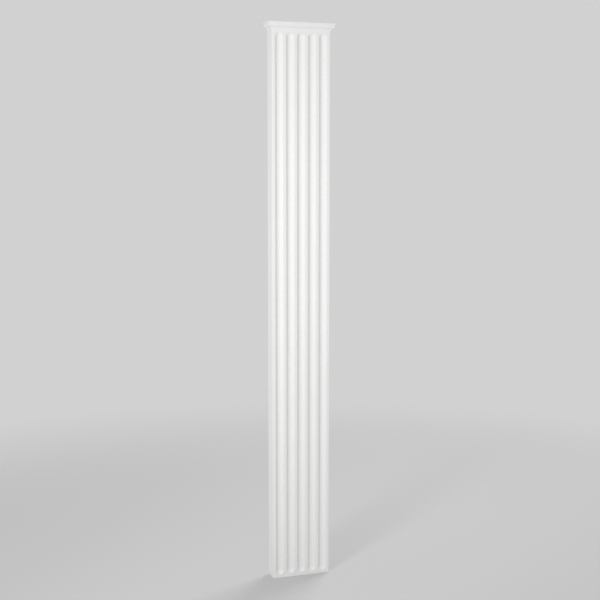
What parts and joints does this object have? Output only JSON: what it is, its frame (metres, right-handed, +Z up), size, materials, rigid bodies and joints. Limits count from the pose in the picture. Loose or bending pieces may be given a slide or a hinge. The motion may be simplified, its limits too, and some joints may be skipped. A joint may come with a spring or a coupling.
{
  "type": "fluted pilaster shaft",
  "caption": "Flat-backed pilaster shaft with round-ended flutes and a moulded cap, fixed upright against a wall between a pilaster base and what it carries.",
  "frame": {"origin": "middle of the flat back that goes against the wall, half way up and midway between the sides", "axes": "+Z up the shaft, +Y into the wall, +X to the right as one faces the flutes"},
  "size_m": [0.248, 0.07, 2],
  "materials": {
    "primed_moulding": "white factory primer, satin to matt"
  },
  "bodies": {
    "root": {"pilaster_shaft": "primed_moulding"}
  },
  "joints": []
}
